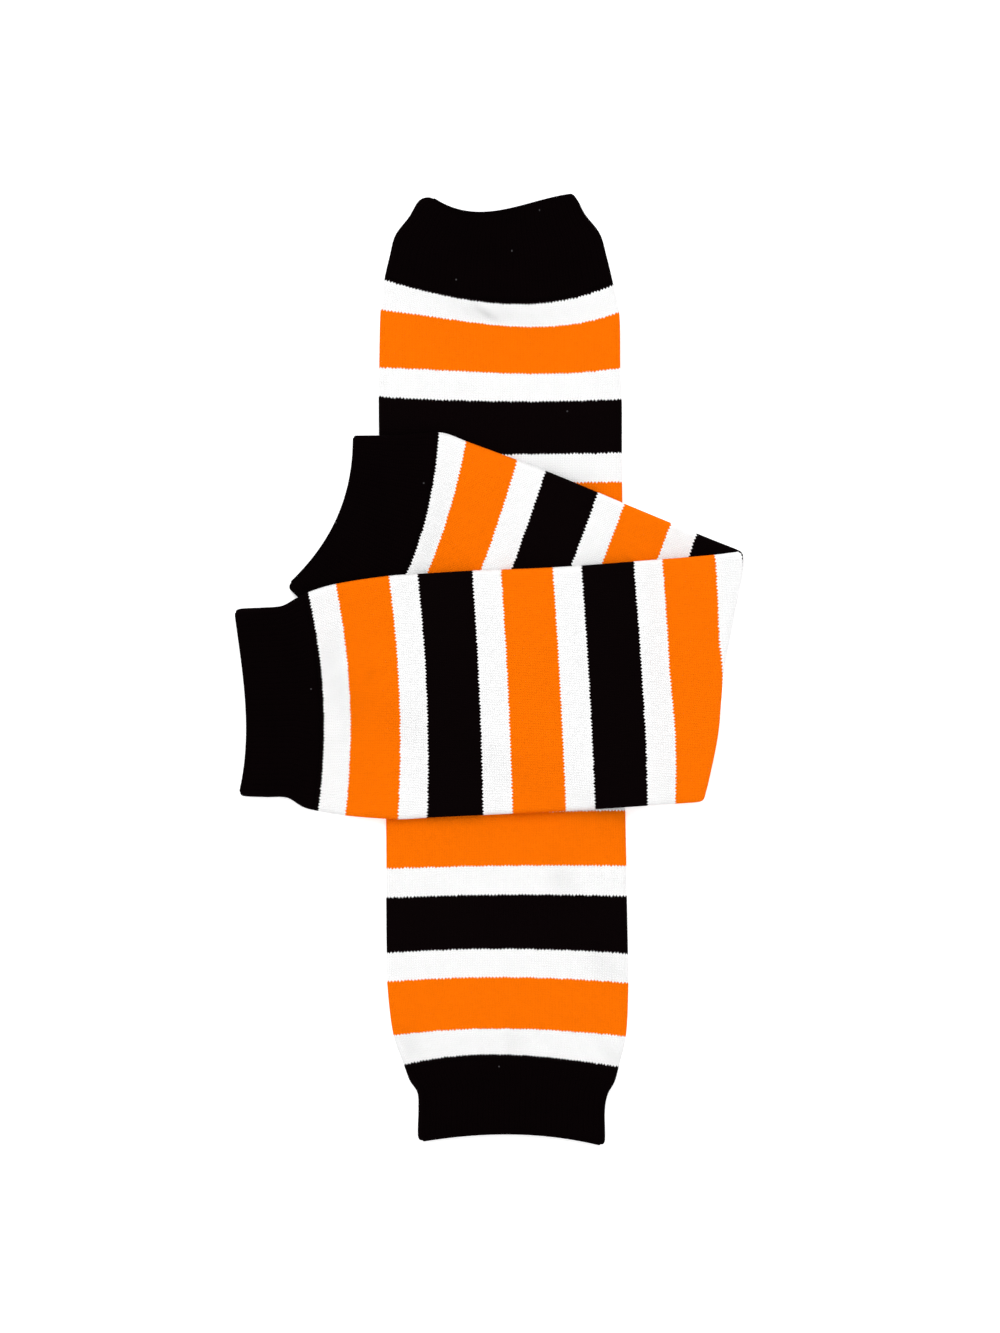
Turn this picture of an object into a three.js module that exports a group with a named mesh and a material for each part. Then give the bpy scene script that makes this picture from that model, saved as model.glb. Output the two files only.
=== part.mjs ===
// A pair of children's knitted leg warmers lying on a surface. One is straight; the other is folded
// once near its middle and laid across it, its second half beneath its first.
// Millimetres, +Z up. Z = 0 is the surface, and the origin is under the middle of the pair's outline.
// Each leg warmer is one knitted tube lying flat: a striped leg between two ribbed cuffs, open at both ends.

import * as THREE from "three";

// The cloth
const WALL = 1.2; // one layer of knit
const SLIT = 0.6; // air left inside a tube that lies flat
const LAYER = 2 * WALL + SLIT; // a tube lying flat
const CLEAR = 0.3; // between pieces at a seam, and between cloth that lies on cloth
const STEP = LAYER + CLEAR; // how far cloth is lifted by a tube beneath it
const BRIDGE = 4; // how far past an edge the cloth that covers it runs on level
const RAMP = 13; // and how far it then takes to come down
const LIP = 0.4; // how far a mouth's rounded edge stands proud of its last ring

// The knitted bands of one leg warmer, from mouth to mouth
const CUFF = 27;
const PALE_BAND = 9.4;
const BRIGHT_BAND = 17.1;
const BRIGHT_BANDS = 9; // orange and black by turns, the first and the last of them orange
const LENGTH = 2 * CUFF + BRIGHT_BANDS * BRIGHT_BAND + (BRIGHT_BANDS + 1) * PALE_BAND;

const BLACK = 0x0d0b0c;
const WHITE = 0xf4f4f5;
const ORANGE = 0xfb7108;

// Where the two lie, measured from the middle of the pair's outline
const STRAIGHT_MOUTH = { x: 7.1, y: -151.3 }; // the middle of the straight one's lower mouth
const STRAIGHT_HEADING = 90.8; // degrees from +X towards +Y
const FOLD_POINT = { x: 76.4, y: -2.7 }; // where the folded one's middle line meets its folded edge
const FOLD_COURSE = 161; // the course of the knit that meets it
const FRONT_HEADING = 3.4; // of the folded one's upper half, towards the fold
const EDGE_HEADING = 81.4; // of the folded edge
const FOLD_RADIUS = 2.2; // of the middle of the cloth where it turns over
const PUFF_REACH = 30; // how far from the folded edge the upper half takes to come down

// How each lies. "course" is the distance along the knitted tube. "along" and "shift" place the middle of
// that course ahead and to the left, "half" is half the flat width, and the course bends: "bow" sets its
// middle ahead of its ends, "tilt" its left end ahead of its right one, and "lean" skews the bow.
const STRAIGHT_ROWS = [
  { course: 0, along: 0.4, half: 29.8, shift: -0.3, bow: 2.7, tilt: 0.9, lean: 0 },
  { course: 2, along: 2.2, half: 30.4, shift: -0.3, bow: 2.8, tilt: 0.9, lean: 0 },
  { course: 12, along: 11.7, half: 30.3, shift: -0.5, bow: 3.3, tilt: 0.7, lean: 0 },
  { course: 18, along: 17.3, half: 31, shift: -0.9, bow: 3.7, tilt: 0.7, lean: 0 },
  { course: 22, along: 21, half: 33.2, shift: -0.8, bow: 3.9, tilt: 0.7, lean: -0.4 },
  { course: 27, along: 25.7, half: 34.8, shift: -0.6, bow: 3.7, tilt: 0.8, lean: -1 },
  { course: 36.4, along: 34.1, half: 37.7, shift: -0.2, bow: 2.4, tilt: 0.7, lean: -0.4 },
  { course: 53.5, along: 50.8, half: 39.2, shift: 0.2, bow: 1.7, tilt: 0.8, lean: 0 },
  { course: 62.9, along: 60, half: 39.2, shift: 0.2, bow: 1.5, tilt: 0.7, lean: 0 },
  { course: 80, along: 77.6, half: 39.1, shift: 0.2, bow: 0.8, tilt: 0.3, lean: 0 },
  { course: 89.4, along: 87, half: 39, shift: 0.1, bow: 0.5, tilt: 0.1, lean: 0 },
  { course: 106.5, along: 104.4, half: 38.9, shift: 0.1, bow: 0, tilt: 0, lean: 0 },
  { course: 221.9, along: 220.5, half: 39.4, shift: 0.1, bow: 0, tilt: 0, lean: 0 },
  { course: 239, along: 237.8, half: 39.5, shift: 0, bow: -1.1, tilt: 1, lean: 0 },
  { course: 248.4, along: 247, half: 39.2, shift: 0, bow: -1.6, tilt: 0.6, lean: -1.3 },
  { course: 265.5, along: 262.5, half: 38.8, shift: -0.3, bow: -4.6, tilt: 0.9, lean: -2.9 },
  { course: 274.9, along: 269.5, half: 37.3, shift: -0.1, bow: -6.9, tilt: 1.3, lean: -1.9 },
  { course: 284, along: 279.7, half: 35.1, shift: 0, bow: -6.2, tilt: 0.6, lean: 0.5 },
  { course: 290, along: 286.7, half: 33.2, shift: 0.1, bow: -5.8, tilt: 0.2, lean: 2 },
  { course: 296, along: 293.4, half: 28.4, shift: 0.1, bow: -5.4, tilt: 0.1, lean: 3.3 },
  { course: LENGTH - 2.5, along: 297.2, half: 26.2, shift: -0.2, bow: -5.7, tilt: 0.3, lean: 4.2 },
  { course: LENGTH, along: 299.9, half: 23.9, shift: -0.9, bow: -5.6, tilt: 0.5, lean: 4.2 },
];
const FOLDED_ROWS = [
  { course: 0, along: -155.3, half: 30, shift: 1.1, bow: 2.9, tilt: 1.1, lean: 1.3 },
  { course: 2, along: -153.4, half: 30.5, shift: 1, bow: 2.9, tilt: 1.1, lean: 1.2 },
  { course: 10, along: -146.1, half: 30.8, shift: 0.6, bow: 3, tilt: 1.1, lean: 0.9 },
  { course: 17, along: -139.7, half: 31.2, shift: 0.4, bow: 3.1, tilt: 1, lean: 0.5 },
  { course: 22, along: -135.1, half: 33.8, shift: -0.2, bow: 3.2, tilt: 0.8, lean: 0.2 },
  { course: 27, along: -130.5, half: 35.5, shift: -0.1, bow: 3.4, tilt: 0.5, lean: 0 },
  { course: 36.4, along: -121.9, half: 37.6, shift: 0, bow: 3.1, tilt: 0.7, lean: 0 },
  { course: 53.5, along: -105.8, half: 39.5, shift: -0.3, bow: 2, tilt: 0.9, lean: 0 },
  { course: 62.9, along: -96.9, half: 39.6, shift: -0.3, bow: 1.5, tilt: 0.8, lean: 0 },
  { course: 80, along: -79.8, half: 39.7, shift: -0.4, bow: 0.6, tilt: 0.6, lean: 0 },
  { course: 106.5, along: -53.6, half: 39.6, shift: -0.8, bow: 0.3, tilt: 0.2, lean: 0 },
  { course: 133, along: -26.9, half: 39.7, shift: -0.5, bow: 0.5, tilt: 0, lean: 0 },
  { course: FOLD_COURSE, along: 0, half: 40, shift: 0, bow: 0, tilt: 0, lean: 0 },
  { course: 168.9, along: 6.7, half: 40, shift: 0.3, bow: 0, tilt: 0, lean: 0 },
  { course: 186, along: 23.8, half: 40.1, shift: 0.6, bow: 0, tilt: 0, lean: 0 },
  { course: 212.5, along: 49.2, half: 40.1, shift: 1.3, bow: 0, tilt: 0, lean: 0 },
  { course: 221.9, along: 58.2, half: 40, shift: 1.8, bow: -0.3, tilt: 0, lean: 0 },
  { course: 239, along: 76, half: 39.7, shift: 2.7, bow: -0.9, tilt: 0, lean: 0 },
  { course: 265.5, along: 101.1, half: 39.3, shift: 3, bow: -3.8, tilt: -0.4, lean: 0 },
  { course: 274.9, along: 107.2, half: 38.2, shift: 3.8, bow: -6.5, tilt: 0, lean: -0.8 },
  { course: 288, along: 121.2, half: 32.4, shift: 3.9, bow: -6.2, tilt: -0.9, lean: 0 },
  { course: LENGTH, along: 135, half: 26.5, shift: 4.1, bow: -6.2, tilt: -1.6, lean: 0 },
];

// The folded edge swells out in two places. "up" is the distance along it from the fold point.
const EDGE_ROWS = [
  { up: -41, out: -0.5 },
  { up: -33, out: 0.3 },
  { up: -19, out: 1 },
  { up: -7, out: 0.3 },
  { up: 1, out: -0.2 },
  { up: 8, out: 0 },
  { up: 34, out: 0.9 },
  { up: 41, out: 0.2 },
];
const SWELL_REACH = 30; // how far from the edge the swelling fades away

// How finely each piece is drawn: rings along it no further apart than these, and faces across it
const STRAIGHT_MESH = { legStep: 9, cuffStep: 4.5, across: 8 };
const FOLDED_MESH = { legStep: 6, cuffStep: 4.5, across: 10 };
const TURN_STEPS = 9; // rings round the half turn of the fold
const SIDE_STEPS = 4; // faces round each side fold of a flat tube
const SKEW_REACH = 70; // how far from the fold its rings take to stand square to the tube again
const TEXELS_PER_MM = 2; // of the striped knit's colour map

/** The table's other columns as smooth functions of one of them: columnsOf(rows, "course")(12).half. */
function columnsOf(rows, key) {
  const names = Object.keys(rows[0]).filter((name) => name !== key);
  const curve = new THREE.CubicInterpolant(
    rows.map((row) => row[key]),
    rows.flatMap((row) => names.map((name) => row[name])),
    names.length,
  );
  return (at) => {
    const values = curve.evaluate(at);
    return Object.fromEntries(names.map((name, i) => [name, values[i]]));
  };
}

/** 1 up to an edge, easing down to 0 at "reach" beyond it. */
const fade = (beyond, reach) => 1 - THREE.MathUtils.smoothstep(beyond, 0, reach);

/** The same for cloth that comes down from an edge beneath it. */
const comeDown = (beyond) => fade(beyond - BRIDGE, RAMP);

/** A flat frame, from a start point and a heading. plan() gives a place's X and Y, and local() comes back. */
function frameAt(start, degrees) {
  const angle = THREE.MathUtils.degToRad(degrees);
  const ahead = new THREE.Vector2(Math.cos(angle), Math.sin(angle));
  const left = new THREE.Vector2(-ahead.y, ahead.x);
  const from = new THREE.Vector2(start.x, start.y);
  return {
    plan: (s, v) => from.clone().addScaledVector(ahead, s).addScaledVector(left, v),
    local: (point) => {
      const offset = new THREE.Vector2(point.x, point.y).sub(from);
      return { s: offset.dot(ahead), v: offset.dot(left) };
    },
  };
}

/** Where a point of a course lies in the frame of its own leg warmer, "across" from its middle. */
function onCourse(columns, course, across) {
  const { along, half, shift, bow, tilt, lean } = columns(course);
  const t = across / half;
  return { s: along - bow * t * t + tilt * t + lean * (t ** 3 - t), v: shift + across };
}

// The straight leg warmer lies on the surface all along.
const straightColumns = columnsOf(STRAIGHT_ROWS, "course");
const straightFrame = frameAt(STRAIGHT_MOUTH, STRAIGHT_HEADING);
const straightHalf = straightColumns(LENGTH / 2).half;

/** A point of the straight one: on a course, across from its middle, and up from the middle of the cloth. */
function layStraight(course, across, up) {
  const { s, v } = onCourse(straightColumns, course, across);
  const { x, y } = straightFrame.plan(s, v);
  return new THREE.Vector3(x, y, LAYER / 2 + up);
}

/** How much of a step the straight one gives to cloth that lies over a point. */
const overStraight = (point) => comeDown(Math.abs(straightFrame.local(point).v) - straightHalf);

// The folded one: its upper half runs towards the folded edge, and its lower half runs back beneath it,
// as if mirrored in that edge.
const foldedColumns = columnsOf(FOLDED_ROWS, "course");
const edgeOut = columnsOf(EDGE_ROWS, "up");
const frontFrame = frameAt(FOLD_POINT, FRONT_HEADING);
const edgeFrame = frameAt(FOLD_POINT, EDGE_HEADING);
const backFrame = frameAt(FOLD_POINT, 2 * EDGE_HEADING - FRONT_HEADING);
const foldSlant = THREE.MathUtils.degToRad(90 - EDGE_HEADING + FRONT_HEADING); // of the edge across the tube
const turnReach = FOLD_RADIUS + LAYER / 2; // from the turn's axis to the folded edge

// The lower half's hidden side edge, by distance along it, and the furthest that it runs
const sideRows = FOLDED_ROWS.filter(({ along }) => along > 0).map((row) => ({
  along: row.along - row.bow,
  side: row.half - row.shift,
}));
const backSide = columnsOf(sideRows, "along");
const backMouth = sideRows.at(-1).along;

/** How much of a step the lower half gives to the upper half over a point. */
function overBack(point) {
  const { s, v } = backFrame.local(point); // it is face down, so its hidden side is on its left
  return comeDown(Math.max(v - backSide(s).side, s - backMouth));
}

/** A point of the folded one before its edge swells. */
function turnOver(course, across, up) {
  const { s, v } = onCourse(foldedColumns, course, across);
  const flat = frontFrame.plan(s, v);
  const { s: along, v: inside } = edgeFrame.local(flat); // along the folded edge, and in from it
  const turned = (turnReach - inside) / FOLD_RADIUS; // radians round the turn, for a point that is on it
  if (turned <= 0) {
    const puff = (2 * FOLD_RADIUS - STEP) * fade(inside - turnReach, PUFF_REACH);
    const lift = STEP * (overStraight(flat) + overBack(flat)) + puff;
    return new THREE.Vector3(flat.x, flat.y, LAYER / 2 + lift + up);
  }
  if (turned < Math.PI) {
    const radius = FOLD_RADIUS + up;
    const { x, y } = edgeFrame.plan(along, turnReach - radius * Math.sin(turned));
    return new THREE.Vector3(x, y, turnReach + radius * Math.cos(turned));
  }
  const under = edgeFrame.plan(along, turnReach + (turned - Math.PI) * FOLD_RADIUS);
  return new THREE.Vector3(under.x, under.y, LAYER / 2 + STEP * overStraight(under) - up);
}

/** A point of the folded one: on a course, across from its middle, and up from the middle of the cloth. */
function layFolded(course, across, up) {
  const point = turnOver(course, across, up);
  const { s, v } = edgeFrame.local(point);
  const { x, y } = edgeFrame.plan(s, v - edgeOut(s).out * fade(v, SWELL_REACH));
  return new THREE.Vector3(x, y, point.z);
}

/** The points round a flat tube: level above and below, and round at its two side folds. */
function flatRing(half, radius, steps) {
  const level = half - LAYER / 2;
  const sides = [];
  for (let i = 0; i <= steps; i++) sides.push({ across: level - (2 * level * i) / steps, up: radius });
  for (let i = 1; i < SIDE_STEPS; i++) {
    const angle = (Math.PI * i) / SIDE_STEPS;
    sides.push({ across: -level - radius * Math.sin(angle), up: radius * Math.cos(angle) });
  }
  return [...sides, ...sides.map(({ across, up }) => ({ across: -across, up: -up }))];
}

/**
 * A closed wall of knit between two courses. Its rings run along the outside, round one end, back along
 * the inside and round the other end. A mouth's end is rounded, and a seam's end is square.
 */
function knitWall(leg, from, to, step) {
  const courses = leg.courses(from, to, step);
  const outside = courses.map((course) => ({ course, radius: LAYER / 2, proud: 0 }));
  const inside = courses.toReversed().map((course) => ({ course, radius: SLIT / 2, proud: 0 }));
  const lip = (course, proud) => ({ course, radius: (LAYER + SLIT) / 4, proud });
  const rings = [
    ...outside,
    ...(to === LENGTH ? [lip(to, LIP)] : []),
    ...inside,
    ...(from === 0 ? [lip(from, -LIP)] : []),
  ];

  const position = [];
  const uv = [];
  for (const { course, radius, proud } of rings) {
    for (const { across, up } of flatRing(leg.columns(course).half, radius, leg.mesh.across)) {
      const knitted = THREE.MathUtils.clamp(course + leg.skew(course) * across, 0, LENGTH);
      position.push(...leg.lay(knitted, across, up).add(leg.ahead(course).multiplyScalar(proud)));
      uv.push(0.5, knitted / LENGTH);
    }
  }

  const round = position.length / 3 / rings.length;
  const index = [];
  rings.forEach((_, i) => {
    const here = i * round;
    const next = ((i + 1) % rings.length) * round;
    for (let k = 0; k < round; k++) {
      const beside = (k + 1) % round;
      index.push(here + k, next + beside, next + k, here + k, here + beside, next + beside);
    }
  });

  const geometry = new THREE.BufferGeometry();
  geometry.setAttribute("position", new THREE.Float32BufferAttribute(position, 3));
  geometry.setAttribute("uv", new THREE.Float32BufferAttribute(uv, 2));
  geometry.setIndex(index);
  geometry.computeVertexNormals();
  return geometry;
}

/** Courses from one to another, in equal steps no longer than "step". */
function evenly(from, to, step) {
  const count = Math.ceil((to - from) / step);
  return Array.from({ length: count + 1 }, (_, i) => THREE.MathUtils.lerp(from, to, i / count));
}

/** A frame's heading as a direction in space. */
function headingOf(frame) {
  const { x, y } = frame.plan(1, 0).sub(frame.plan(0, 0));
  return new THREE.Vector3(x, y, 0);
}

const straightLeg = {
  lay: layStraight,
  columns: straightColumns,
  mesh: STRAIGHT_MESH,
  ahead: () => headingOf(straightFrame),
  skew: () => 0,
  courses: evenly,
};

// The courses on the middle line where the half turn begins and ends
const turnBegins = FOLD_COURSE - turnReach / Math.cos(foldSlant);
const turnEnds = turnBegins + (Math.PI * FOLD_RADIUS) / Math.cos(foldSlant);
const turnMiddle = (turnBegins + turnEnds) / 2;

/** The folded one's rings lie along the folded edge near it, and square to the tube at its cuffs. */
function foldedSkew(course) {
  return Math.tan(foldSlant) * fade(Math.abs(course - turnMiddle) - turnReach, SKEW_REACH);
}

/** Its courses come closer together round the turn. */
function foldedCourses(from, to, step) {
  if (from > turnEnds || to < turnBegins) return evenly(from, to, step);
  const turn = Array.from({ length: TURN_STEPS - 1 }, (_, i) => (i + 1) / TURN_STEPS);
  return [
    ...evenly(from, turnBegins, step),
    ...turn.map((share) => THREE.MathUtils.lerp(turnBegins, turnEnds, share)),
    ...evenly(turnEnds, to, step),
  ];
}

const foldedLeg = {
  lay: layFolded,
  columns: foldedColumns,
  mesh: FOLDED_MESH,
  ahead: (course) => headingOf(course < FOLD_COURSE ? frontFrame : backFrame),
  skew: foldedSkew,
  courses: foldedCourses,
};

/** A colour map that runs the length of the tube, coloured by the band that each texel is knitted in. */
function stripes() {
  const texels = Math.round(TEXELS_PER_MM * LENGTH);
  const pitch = PALE_BAND + BRIGHT_BAND;
  const data = new Uint8Array(4 * texels);
  for (let i = 0; i < texels; i++) {
    const course = (i + 0.5) / TEXELS_PER_MM - CUFF;
    const band = Math.floor(course / pitch);
    const inLeg = course >= 0 && course < LENGTH - 2 * CUFF;
    const bright = course - band * pitch >= PALE_BAND ? [ORANGE, BLACK][Math.abs(band) % 2] : WHITE;
    const hex = inLeg ? bright : BLACK;
    data.set([hex >> 16, (hex >> 8) & 255, hex & 255, 255], 4 * i);
  }
  const texture = new THREE.DataTexture(data, 1, texels);
  texture.colorSpace = THREE.SRGBColorSpace;
  texture.needsUpdate = true;
  return texture;
}

/** A leg warmer's three pieces, a seam's gap apart. Its first cuff is the one at course 0. */
function legWarmer(leg, legName, firstCuff, lastCuff) {
  const striped = new THREE.MeshStandardMaterial({ map: stripes(), roughness: 0.9, metalness: 0 });
  const ribbed = new THREE.MeshStandardMaterial({ color: BLACK, roughness: 0.92, metalness: 0 });
  const { legStep, cuffStep } = leg.mesh;
  const seam = CLEAR / 2;
  const pieces = [
    { name: firstCuff, from: 0, to: CUFF - seam, step: cuffStep, material: ribbed },
    { name: legName, from: CUFF + seam, to: LENGTH - CUFF - seam, step: legStep, material: striped },
    { name: lastCuff, from: LENGTH - CUFF + seam, to: LENGTH, step: cuffStep, material: ribbed },
  ];
  return pieces.map(({ name, from, to, step, material }) => {
    const mesh = new THREE.Mesh(knitWall(leg, from, to, step), material);
    mesh.name = name;
    return mesh;
  });
}

const pair = new THREE.Group();
pair.add(...legWarmer(straightLeg, "straight_leg", "straight_lower_cuff", "straight_upper_cuff"));
pair.add(...legWarmer(foldedLeg, "folded_leg", "folded_front_cuff", "folded_back_cuff"));

export default pair;
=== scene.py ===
# A pair of children's knitted leg warmers lying on a pale floor: one straight, the other folded once
# and laid across it, its second half beneath its first. Each is a knitted tube lying flat.
# The dictionaries hold millimetres and degrees, and mm turns a length into metres.

import math

import bpy
import numpy as np
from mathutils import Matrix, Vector


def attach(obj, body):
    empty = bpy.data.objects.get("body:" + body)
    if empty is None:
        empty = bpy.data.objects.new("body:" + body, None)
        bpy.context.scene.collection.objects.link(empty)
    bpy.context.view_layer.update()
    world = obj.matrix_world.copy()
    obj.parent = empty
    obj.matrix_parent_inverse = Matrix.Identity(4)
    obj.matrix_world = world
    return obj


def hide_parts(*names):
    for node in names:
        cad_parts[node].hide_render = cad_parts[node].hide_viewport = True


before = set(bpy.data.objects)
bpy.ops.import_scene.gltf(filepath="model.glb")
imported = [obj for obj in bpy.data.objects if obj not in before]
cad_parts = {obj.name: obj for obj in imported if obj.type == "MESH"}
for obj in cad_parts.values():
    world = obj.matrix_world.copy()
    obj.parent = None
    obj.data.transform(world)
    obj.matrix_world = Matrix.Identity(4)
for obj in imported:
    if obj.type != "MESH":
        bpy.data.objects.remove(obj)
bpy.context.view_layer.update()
bpy.ops.object.select_all(action="DESELECT")

mm = 0.001

# The knit that both are made of
knit = {
    "wall": 1.2,  # one layer
    "slit": 0.6,  # air left inside a tube that lies flat
    "clear": 0.3,  # between cloth that lies on cloth
    "bridge": 4,  # how far past an edge the cloth that covers it runs on level
    "ramp": 13,  # and how far it then takes to come down
    "sideEase": 0.78,  # how much more slowly it comes down beside the tube beneath it
    "round": 157,  # a leg's girth, cut
    "cuffRound": 128,  # a cuff's girth, unstretched at its seam
    "cuff": 27,
    "paleCourses": 12,
    "brightCourses": 22,
    "brightBands": 9,
    "course": 0.7796,  # height of a stitch
    "wales": 146,  # stitches round a leg
    "lip": 0.4,  # how far a mouth's rounded edge stands proud of its last ring
    "lipRound": 0.35,  # from the crest of that edge to the ring on each side of it
    "lipShoulder": 0.8,  # the share of the lip by which those two rings stand proud
    "mouthReach": 7,  # how far from a mouth the upper layer still stands up
    "skyBlend": 0.25,  # how far past a side fold the relief of the upper layer reaches
    "reliefSink": 0.8,  # the share of the slit that a trough of the upper layer may take up
    "coveredDip": 0.4,  # the share of a trough that is left beneath other cloth
    "freeDip": 0.6,  # and what it gains in the open
    "turnStep": 0.6,  # between the rings on the turn of the fold
    "seamBlack": 1.2,  # black knit at each end of the striped piece, before the cuff's own piece begins
    "seamGap": 0.02,  # air between the two there
    "mouthRings": (0.15, 0.4, 0.8, 1.3, 2, 3),  # finer rings this far from a mouth
}
layer = 2 * knit["wall"] + knit["slit"]
liftStep = layer + knit["clear"]
legCourses = (
    knit["brightBands"] * knit["brightCourses"] + (knit["brightBands"] + 1) * knit["paleCourses"]
)
length = 2 * knit["cuff"] + legCourses * knit["course"]


# 1 up to an edge, easing down to 0 at "reach" beyond it
def fade(beyond, reach):
    t = np.clip(beyond / reach, 0, 1)
    return 1 - t * t * (3 - 2 * t)


# The same for cloth that comes down from an edge beneath it
def comeDown(beyond):
    return fade(beyond - knit["bridge"], knit["ramp"])


# A hump, 1 at nought and gone beyond about twice its width
def hump(distance, width):
    return np.exp(-((distance / width) ** 2))


# A smooth curve through one column of a table, by another of its columns
def curve(table, key, name, at):
    columns = table["columns"]
    rows = np.array(table["rows"], dtype=float)
    x = rows[:, columns.index(key)]
    y = rows[:, columns.index(name)]
    slope = np.empty(len(x))
    slope[1:-1] = (y[2:] - y[:-2]) / (x[2:] - x[:-2])
    slope[0] = (y[1] - y[0]) / (x[1] - x[0])
    slope[-1] = (y[-1] - y[-2]) / (x[-1] - x[-2])
    at = np.clip(at, x[0], x[-1])
    i = np.clip(np.searchsorted(x, at, side="right") - 1, 0, len(x) - 2)
    width = x[i + 1] - x[i]
    t = (at - x[i]) / width
    rise = (1 + 2 * t) * (1 - t) ** 2 * y[i] + t * t * (3 - 2 * t) * y[i + 1]
    return rise + width * (t * (1 - t) ** 2 * slope[i] - t * t * (1 - t) * slope[i + 1])


# A flat frame has a start point and a heading. toPlan gives X and Y of a place in it, and toFrame
# comes back.
def flatFrame(x, y, heading):
    angle = math.radians(heading)
    return {"x": x, "y": y, "cos": math.cos(angle), "sin": math.sin(angle)}


def toPlan(place, s, v):
    return (
        place["x"] + s * place["cos"] - v * place["sin"],
        place["y"] + s * place["sin"] + v * place["cos"],
    )


def toFrame(place, x, y):
    dx = x - place["x"]
    dy = y - place["y"]
    return dx * place["cos"] + dy * place["sin"], dy * place["cos"] - dx * place["sin"]


# Where a point of a course lies in its garment's own frame, "across" from the middle of the tube
def onCourse(garment, course, across):
    row = {name: curve(garment, "course", name, course) for name in garment["columns"][1:]}
    t = across / row["half"]
    s = row["along"] - row["bow"] * t * t + row["tilt"] * t + row["lean"] * (t**3 - t)
    return s, row["shift"] + across


# Soft troughs and ridges of the upper layer, each a hump longer one way than the other. "what" is how
# far they rise, or how much painted shade darkens the knit's colour in them.
def creaseSum(creases, what, course, across):
    total = np.zeros_like(course)
    for crease in creases:
        angle = math.radians(crease["turn"])
        dc = course - crease["course"]
        da = across - crease["across"]
        alongIt = da * math.cos(angle) + dc * math.sin(angle)
        acrossIt = dc * math.cos(angle) - da * math.sin(angle)
        total += crease.get(what, 0) * hump(alongIt, crease["long"]) * hump(acrossIt, crease["wide"])
    return total


# The slow unevenness of cloth that was smoothed by hand: a few crossing waves
def unevenness(waves, course, across):
    rise = np.zeros_like(course)
    for wave in waves:
        angle = math.radians(wave["turn"])
        phase = (across * math.cos(angle) + course * math.sin(angle)) / wave["every"]
        rise += wave["rise"] * np.sin(2 * math.pi * (phase + wave["start"]))
    return rise


# Small puckers where the full leg is gathered into its narrower cuff: a broad wave and a fine one
puckerWaves = {
    "seams": ((knit["cuff"], 0.2), (length - knit["cuff"], 0.65)),  # the course, and the waves' start
    "broad": 5.3,
    "broadStart": 6,
    "fine": 3.1,
    "fineStart": 9,
    "fineShare": 0.6,
}


def puckers(garment, course, across):
    rise = np.zeros_like(course)
    for seam, start in puckerWaves["seams"]:
        away = np.abs(course - seam - np.sign(length / 2 - seam) * garment["puckerAway"])
        broad = np.sin(across / puckerWaves["broad"] + puckerWaves["broadStart"] * start)
        fine = np.sin(across / puckerWaves["fine"] + puckerWaves["fineStart"] * start)
        wave = broad + puckerWaves["fineShare"] * fine
        rise += garment["pucker"] * wave * hump(away, garment["puckerLong"])
    return rise


# How much the rounded corners of the mouths take off the side folds at a course, left and right
def cornerCuts(garment, course):
    ends = ((course, garment["firstCorners"]), (length - course, garment["lastCorners"]))
    cuts = []
    for side in (0, 1):
        cut = np.zeros_like(course)
        for fromMouth, radii in ends:
            inside = np.clip(radii[side] - fromMouth, 0, radii[side])
            cut += radii[side] - np.sqrt(radii[side] ** 2 - inside**2)
        cuts.append(cut)
    return cuts


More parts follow.
